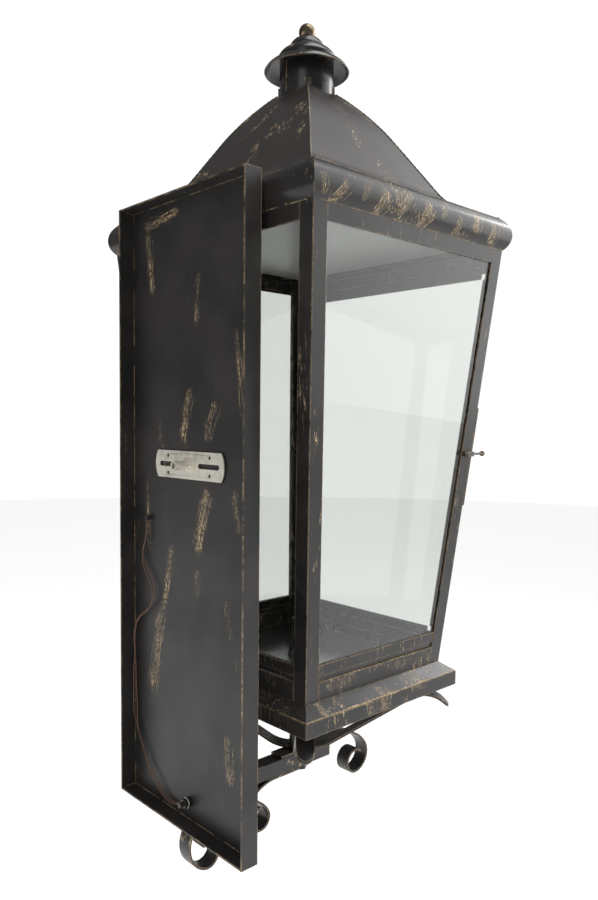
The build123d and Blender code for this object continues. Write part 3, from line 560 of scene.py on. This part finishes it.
def tube_rings(form, points, radii, closed=False, sides=8):
    """Skin a tube of changing radius over points, and cap its ends unless it is closed."""
    count = len(points)
    rings = []
    side = None
    for index, point in enumerate(points):
        before = points[index - 1] if index or closed else point
        after = points[(index + 1) % count] if index < count - 1 or closed else point
        tangent = (after - before).normalized()
        if side is None:
            side = tangent.orthogonal().normalized()
        side = (side - tangent * side.dot(tangent)).normalized()
        other = tangent.cross(side)
        ring = []
        for step in range(sides):
            angle = 2 * pi * step / sides
            ring.append(form.verts.new(point + (side * cos(angle) + other * sin(angle)) * radii[index]))
        rings.append(ring)
    pairs = list(zip(rings, rings[1:]))
    if closed:
        pairs.append((rings[-1], rings[0]))
    for ring, following in pairs:
        for step in range(sides):
            after = (step + 1) % sides
            form.faces.new((ring[step], ring[after], following[after], following[step]))
    if not closed:
        form.faces.new(list(reversed(rings[0])))
        form.faces.new(rings[-1])


def along(corners, spacing, closed=False):
    """Points at an even spacing along straight runs between corners."""
    points = []
    ends = corners[1:] + ([corners[0]] if closed else [])
    for start, end in zip(corners, ends):
        count = max(1, round((end - start).length / spacing))
        points.extend(start.lerp(end, step / count) for step in range(count))
    if not closed:
        points.append(corners[-1])
    return points


def finish_mesh(name, form):
    bmesh.ops.recalc_face_normals(form, faces=form.faces)
    mesh = bpy.data.meshes.new(name)
    form.to_mesh(mesh)
    form.free()
    return mesh


def weld_bead(name, runs, radius, body, material, closed=False, pitch=0.0022):
    """Rippled weld or solder beads, each run a list of corners."""
    form = bmesh.new()
    for run in runs:
        points = along(run, pitch / 3, closed)
        radii = [
            radius * (0.86 + 0.16 * sin(2.1 * index) + 0.07 * sin(0.37 * index))
            for index in range(len(points))
        ]
        tube_rings(form, points, radii, closed)
    add_piece(name, finish_mesh(name, form), body, material)


def thread(name, centre, direction, radius, pitch, length, body, material):
    """A single-start ridge wound on a rod, as (centre of its outer end, way it runs inwards)."""
    turn_steps = 20
    steps = int(length / pitch * turn_steps)
    side = direction.orthogonal().normalized()
    other = direction.cross(side)
    points = []
    radii = []
    for index in range(steps + 1):
        angle = 2 * pi * index / turn_steps
        outward = side * cos(angle) + other * sin(angle)
        points.append(centre + outward * radius + direction * (pitch * index / turn_steps))
        fade = min(1.0, index / turn_steps, (steps - index) / turn_steps)
        radii.append(pitch * (0.12 + 0.17 * fade))
    form = bmesh.new()
    tube_rings(form, points, radii, sides=6)
    add_piece(name, finish_mesh(name, form), body, material)


def lathe(form, centre, direction, profile, sides=28):
    """Turn a profile of (radius, distance along direction) points into a closed solid."""
    side = direction.orthogonal().normalized()
    other = direction.cross(side)
    rings = []
    for radius, along_axis in profile:
        ring = []
        for step in range(sides):
            angle = 2 * pi * step / sides
            outward = side * cos(angle) + other * sin(angle)
            ring.append(form.verts.new(centre + outward * radius + direction * along_axis))
        rings.append(ring)
    for ring, following in zip(rings, rings[1:]):
        for step in range(sides):
            after = (step + 1) % sides
            form.faces.new((ring[step], ring[after], following[after], following[step]))
    form.faces.new(list(reversed(rings[0])))
    form.faces.new(rings[-1])


def screw_head(form, place, normal, radius):
    """A raised head with a turned rim and a screwdriver slot between two lips."""
    profile = [
        (radius, -0.0002), (radius, 0.0003), (0.93 * radius, 0.00055), (0.7 * radius, 0.00085),
        (0.4 * radius, 0.00102), (0.16 * radius, 0.00106),
    ]
    lathe(form, place, normal, profile)
    side = normal.orthogonal().normalized()
    for lip in (-0.22, 0.22):
        start = place + normal * 0.00085 + side * lip * radius - normal.cross(side) * 0.72 * radius
        end = place + normal * 0.00085 + side * lip * radius + normal.cross(side) * 0.72 * radius
        middle_point = (start + end) / 2 + normal * 0.0002
        tube_rings(form, [start, middle_point, end], [0.09 * radius, 0.13 * radius, 0.09 * radius], sides=6)


def tangent_arc(start, tangent, end, count):
    """Points on the arc that leaves start along tangent and reaches end."""
    normal = Vector((-tangent.y, tangent.x))
    chord = end - start
    radius = chord.length_squared / (2 * chord.dot(normal))
    hub = start + normal * radius
    reach = start - hub
    turn = reach.angle_signed(end - hub)
    turned = []
    for step in range(1, count + 1):
        angle = -turn * step / count
        turned_x = reach.x * cos(angle) - reach.y * sin(angle)
        turned_y = reach.x * sin(angle) + reach.y * cos(angle)
        turned.append(hub + Vector((turned_x, turned_y)))
    return turned


def roof_hip_profile():
    """(half width, height) points up a hip of the roof, from the eave to the lug under the pipe."""
    foot = Vector((0.176, 0.7006))
    flare_end = Vector((0.122, 0.729))
    straight_end = Vector((0.080, 0.793))
    lug = Vector((0.027, 0.8515))
    leaving = Vector((-1, 0.04)).normalized()
    climb = (straight_end - flare_end).normalized()
    points = [foot] + tangent_arc(foot, leaving, flare_end, 14)
    points += [flare_end.lerp(straight_end, step / 8) for step in range(1, 9)]
    return points + tangent_arc(straight_end, climb, lug, 16)


# threads
thread("nipple_thread", at(0, -0.0027, NIPPLE_HEIGHT), Vector((0, -1, 0)), 0.00492, 0.0013, 0.0147, "lantern",
       zinc_plate)
thread("stud_thread", at(0, 0.0054, 0.022), Vector((0, -1, 0)), 0.00294, 0.0009, 0.0046, "lantern",
       fitting_black)

# solder along the roof hips, wavy as it was filed by hand
hips = []
for side_x in (-1, 1):
    for side_y in (-1, 1):
        hips.append(
            [
                at(side_x * half, BODY_DEPTH + side_y * ROOF_RATIO * half, height)
                for half, height in roof_hip_profile()
            ]
        )
weld_bead("roof_hip_solder", hips, 0.0010, "lantern", roof_black, pitch=0.006)

# welds of the wall box corners, the bracket arm, the stem and the cradle
inner_x = 0.118 - SHEET
box_welds = []
for side_x in (-1, 1):
    for height in (SHEET, 0.700 - SHEET):
        box_welds.append([at(side_x * inner_x, 0.0012, height), at(side_x * inner_x, 0.0190, height)])
weld_bead("wall_box_corner_welds", box_welds, 0.0009, "lantern", panel_black)


def square_run(depth, half, middle_height):
    return [
        at(-half, depth, middle_height - half), at(half, depth, middle_height - half),
        at(half, depth, middle_height + half), at(-half, depth, middle_height + half),
    ]


def ring_run(radius, height, count=48):
    return [
        at(radius * cos(2 * pi * step / count), BODY_DEPTH + radius * sin(2 * pi * step / count), height)
        for step in range(count)
    ]


weld_bead("arm_root_weld", [square_run(ROOT_DEPTH + 0.0004, ARM_HALF, ARM_MIDDLE)], 0.0016, "lantern", iron_black,
          closed=True)
stem_rings = [ring_run(0.0140, height) for height in (0.0420, 0.1262)]
weld_bead("stem_welds", stem_rings, 0.0013, "lantern", iron_black, closed=True)
LEG_ANGLE = radians(41.5)
leg_welds = []
for turn in (LEG_ANGLE, pi - LEG_ANGLE, pi + LEG_ANGLE, -LEG_ANGLE):
    outward = Vector((cos(turn), sin(turn), 0))
    across = Vector((-sin(turn), cos(turn), 0))
    joint = Vector((0, -BODY_DEPTH, 0.0417 - NIPPLE_HEIGHT)) + outward * 0.0160
    leg_welds.append([joint - across * 0.0090, joint + across * 0.0090])
weld_bead("cradle_welds", leg_welds, 0.0010, "lantern", iron_black)

# black glazing strips: an angle over the head of each pane and a flat fillet at its foot, on the inside
PANE_INNER = 0.0051
DOOR_PANE_INNER = 0.0048


def side_strip(form, side, outline, margin):
    """Extrude an outline of (inset, height) points along one side, up to a margin from the corners."""
    sign = 1 if side in ("right", "back") else -1
    rings = []
    for end in (-1, 1):
        ring = []
        for inset, height in outline:
            if side in ("left", "right"):
                depth = BODY_DEPTH + end * (half_y(height) - margin)
                place = at(sign * (half_x(height) - inset), depth, height)
            else:
                depth = BODY_DEPTH - sign * (half_y(height) - inset)
                place = at(end * (half_x(height) - margin), depth, height)
            ring.append(form.verts.new(place))
        rings.append(ring)
    count = len(outline)
    for index in range(count):
        after = (index + 1) % count
        form.faces.new((rings[0][index], rings[0][after], rings[1][after], rings[1][index]))
    form.faces.new(rings[0])
    form.faces.new(list(reversed(rings[1])))


def glazing_strips(name, sides, inner, head, foot, margin, body):
    form = bmesh.new()
    thick = 0.0010
    for side in sides:
        head_angle = [
            (inner, head - 0.014), (inner + thick, head - 0.014), (inner + thick, head + 0.0014),
            (inner - 0.0030, head + 0.0014), (inner - 0.0030, head + 0.0004), (inner, head + 0.0004),
        ]
        side_strip(form, side, head_angle, margin)
        foot_angle = [
            (inner, foot - 0.0004), (inner + thick, foot - 0.0004), (inner + 2 * thick, foot + 0.011),
            (inner + thick, foot + 0.0125), (inner, foot + 0.0125),
        ]
        side_strip(form, side, foot_angle, margin)
    strips = add_piece(name, finish_mesh(name, form), body, post_black)
    soften(strips, 0.0002)




def upright_strips(name, sides, inner, margins, levels, body):
    """Flat strips over the upright edges of the panes, inside; margins are counted from the corners."""
    form = bmesh.new()
    thick = 0.0010
    for side in sides:
        sign = 1 if side in ("right", "back") else -1
        for end in (-1, 1):
            rings = []
            for height in levels:
                ring = []
                for inset, margin in (
                    (inner, margins[0]), (inner, margins[1]), (inner + thick, margins[1] - 0.0008),
                    (inner + thick, margins[0]),
                ):
                    if side in ("left", "right"):
                        across = end * (half_y(height) - margin)
                        place = at(sign * (half_x(height) - inset), BODY_DEPTH + across, height)
                    else:
                        across = end * (half_x(height) - margin)
                        place = at(across, BODY_DEPTH - sign * (half_y(height) - inset), height)
                    ring.append(form.verts.new(place))
                rings.append(ring)
            for index in range(4):
                after = (index + 1) % 4
                form.faces.new((rings[0][index], rings[0][after], rings[1][after], rings[1][index]))
            form.faces.new(rings[0])
            form.faces.new(list(reversed(rings[1])))
    strips = add_piece(name, finish_mesh(name, form), body, post_black)
    soften(strips, 0.0002)


def door_stop(form, low, high):
    """A flat behind the gap at the head or the foot of the door."""
    side_strip(form, "front", [(0.0022, low), (0.0022, high), (0.0034, high), (0.0034, low)], 0.0025)


upright_strips(
    "glazing_uprights", ("left", "right", "back"), PANE_INNER, (0.0070, 0.0195), (0.1975, 0.6475), "lantern",
)
upright_strips(
    "door_glazing_uprights", ("front",), DOOR_PANE_INNER, (0.0110, 0.0200), (0.1975, 0.6290), "door",
)
form = bmesh.new()
door_stop(form, 0.6462, 0.6610)
door_stop(form, 0.1690, 0.1830)
stops = add_piece("door_stops", finish_mesh("door_stops", form), "lantern", post_black)
soften(stops, 0.0002)
glazing_strips("glazing_strips", ("left", "right", "back"), PANE_INNER, 0.6620, 0.1840, 0.0200, "lantern")
glazing_strips("door_glazing_strips", ("front",), DOOR_PANE_INNER, 0.6435, 0.1845, 0.0220, "door")

# rolled wire in the brim's edge, and the beaded rings of the cap
form = bmesh.new()
tube_rings(form, ring_run(0.0511, 0.8781, 96), [0.0009] * 96, closed=True, sides=10)
tube_rings(form, ring_run(0.0356, 0.8884, 80), [0.0008] * 80, closed=True, sides=8)
tube_rings(form, ring_run(0.0213, 0.9058, 64), [0.0007] * 64, closed=True, sides=8)
add_piece("cap_edge_rings", finish_mesh("cap_edge_rings", form), "lantern", cap_black)

# lapped seam up the back of the chimney pipe
form = bmesh.new()
seam = along([at(0, BODY_DEPTH - 0.0331, 0.8475), at(0, BODY_DEPTH - 0.0331, 0.8855)], 0.002)
tube_rings(form, seam, [0.0006] * len(seam))
add_piece("pipe_seam", finish_mesh("pipe_seam", form), "lantern", cap_black)

# strike screws on the door, and screws in both leaves of each hinge
front_normal = Vector((0, -1, -LEAN[1])).normalized()
side_normal = Vector((1, 0, -LEAN[0])).normalized()


def front_point(x_inset, height, side, stand_off):
    corner = at(side * (half_x(height) - x_inset), BODY_DEPTH + half_y(height), height)
    return corner + front_normal * stand_off


form = bmesh.new()
for height in (0.367, 0.457):
    screw_head(form, front_point(0.0085, height, -1, 0.0030), front_normal, 0.0026)
add_piece("strike_screws", finish_mesh("strike_screws", form), "door", fitting_black)

form = bmesh.new()
for level_up in (0.250, 0.590):
    for offset in (-0.011, 0.011):
        screw_head(form, front_point(0.0105, level_up + offset, 1, 0.0012), front_normal, 0.0022)
add_piece("door_leaf_screws", finish_mesh("door_leaf_screws", form), "door", fitting_black)

form = bmesh.new()
for level_up in (0.250, 0.590):
    for offset in (-0.011, 0.011):
        height = level_up + offset
        spot = at(half_x(height), BODY_DEPTH + half_y(height) - 0.0095, height) + side_normal * 0.0012
        screw_head(form, spot, side_normal, 0.0022)
add_piece("frame_leaf_screws", finish_mesh("frame_leaf_screws", form), "lantern", fitting_black)

# grip rings and contact tongue of the lampholder
form = bmesh.new()
for height in (0.172, 0.178, 0.184, 0.190):
    tube_rings(form, ring_run(0.0110, height, 56), [0.0006] * 56, closed=True)
add_piece("holder_rings", finish_mesh("holder_rings", form), "lantern", socket_black)
form = bmesh.new()
contact = [(0.0030, 0), (0.0030, 0.0008), (0.0018, 0.0022), (0.0006, 0.0026)]
lathe(form, at(0, BODY_DEPTH, 0.177), Vector((0, 0, 1)), contact)
add_piece("holder_contact", finish_mesh("holder_contact", form), "lantern", brass)

# ------------------------------------------------------------------ floor and studio light
FLOOR_HEIGHT = -0.55


def add_floor():
    mesh = bpy.data.meshes.new("floor")
    form = bmesh.new()
    bmesh.ops.create_circle(form, cap_ends=True, segments=96, radius=9.0)
    form.to_mesh(mesh)
    form.free()
    floor = bpy.data.objects.new("floor", mesh)
    floor.location = at(0, 0.19, FLOOR_HEIGHT)
    scene.collection.objects.link(floor)
    material, shader, surface = new_material("pale_floor")
    plain = shader.coordinates()
    shader.join(
        shader.mix(shader.noise(plain, 0.8), (0.90, 0.90, 0.90, 1), (0.93, 0.93, 0.93, 1)),
        surface.inputs["Base Color"],
    )
    surface.inputs["Roughness"].default_value = 0.9
    mesh.materials.append(material)


def add_area(name, place, target, size, power, colour=(1, 1, 1)):
    data = bpy.data.lights.new(name, "AREA")
    data.shape = "RECTANGLE"
    data.size, data.size_y = size
    data.energy = power
    data.color = colour
    lamp = bpy.data.objects.new(name, data)
    lamp.location = place
    lamp.rotation_euler = (Vector(target) - Vector(place)).to_track_quat("-Z", "Y").to_euler()
    scene.collection.objects.link(lamp)


PALE_WALL = (-0.32, -0.91, 0.26)


def add_world():
    """White studio; polished metal and glass mirror a dimmer room with one pale wall beside the open end."""
    world = bpy.data.worlds.new("studio")
    scene.world = world
    world.use_nodes = True
    shader = Shader(world.node_tree)
    white = shader.add("ShaderNodeBackground")
    white.inputs["Color"].default_value = (1, 1, 1, 1)
    white.inputs["Strength"].default_value = 1.05
    room = shader.add("ShaderNodeBackground")
    room.inputs["Color"].default_value = (1, 1, 1, 1)
    direction = shader.add("ShaderNodeTexCoord")
    toward = shader.add("ShaderNodeVectorMath", operation="DOT_PRODUCT")
    shader.join(direction.outputs["Generated"], toward.inputs[0])
    toward.inputs[1].default_value = PALE_WALL
    shader.join(shader.step(toward.outputs["Value"], 0.66, 1.0, 0.14, 2.6), room.inputs["Strength"])
    rays = shader.add("ShaderNodeLightPath")
    glossy, passing = rays.outputs["Is Glossy Ray"], rays.outputs["Is Transmission Ray"]
    mirrored = shader.math("SUBTRACT", glossy, passing, clamp=True)
    blend = shader.add("ShaderNodeMixShader")
    shader.join(mirrored, blend.inputs["Fac"])
    shader.join(white.outputs["Background"], blend.inputs[1])
    shader.join(room.outputs["Background"], blend.inputs[2])
    output = shader.add("ShaderNodeOutputWorld")
    shader.join(blend.outputs["Shader"], output.inputs["Surface"])


add_floor()
add_world()
middle = at(0, 0.19, 0.50)
add_area("top", at(-0.6, 0.5, 2.4), middle, (1.4, 1.4), 26)
add_area("strip", at(-0.5, 2.6, 1.4), middle, (0.40, 1.6), 16)
add_area("fill", at(-1.2, -2.0, 1.6), middle, (1.2, 1.2), 6)
scene.view_settings.view_transform = "Standard"
